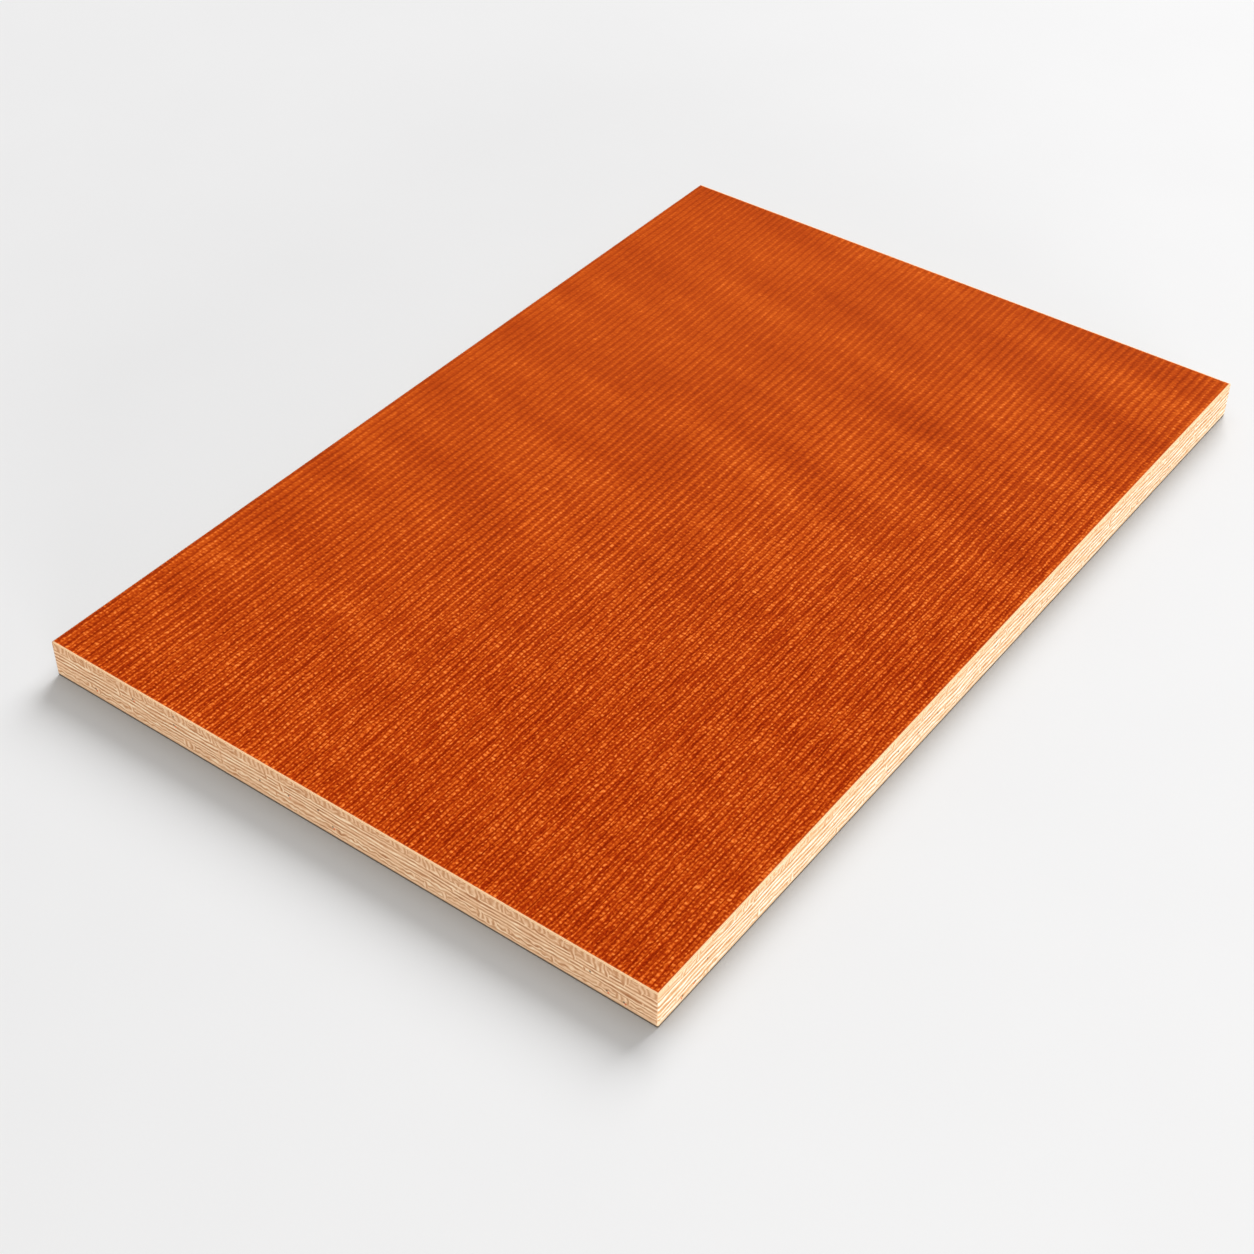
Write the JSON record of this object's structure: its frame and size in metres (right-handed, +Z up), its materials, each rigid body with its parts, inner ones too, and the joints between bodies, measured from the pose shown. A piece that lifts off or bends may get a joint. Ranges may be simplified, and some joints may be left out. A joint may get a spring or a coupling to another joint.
{
  "type": "phenolic laminate sheet",
  "caption": "Flat rectangular sheet of cloth-reinforced phenolic laminate with an orange woven face, pale plies on its sawn edges and eased arrises; stock for panels and machined parts.",
  "frame": {"origin": "middle of the underside, on the surface that the sheet lies on", "axes": "+X along the length, which is also the way the ribs of the cloth run, +Y across the width, +Z up through the plies towards the face"},
  "size_m": [0.3, 0.2, 0.012],
  "materials": {
    "cloth_laminate": "resin-bonded woven cloth, orange-red ribs with a low sheen, on pale straw-coloured plies that show on the sawn edges"
  },
  "bodies": {
    "root": {"laminate_sheet": "cloth_laminate"}
  },
  "joints": []
}
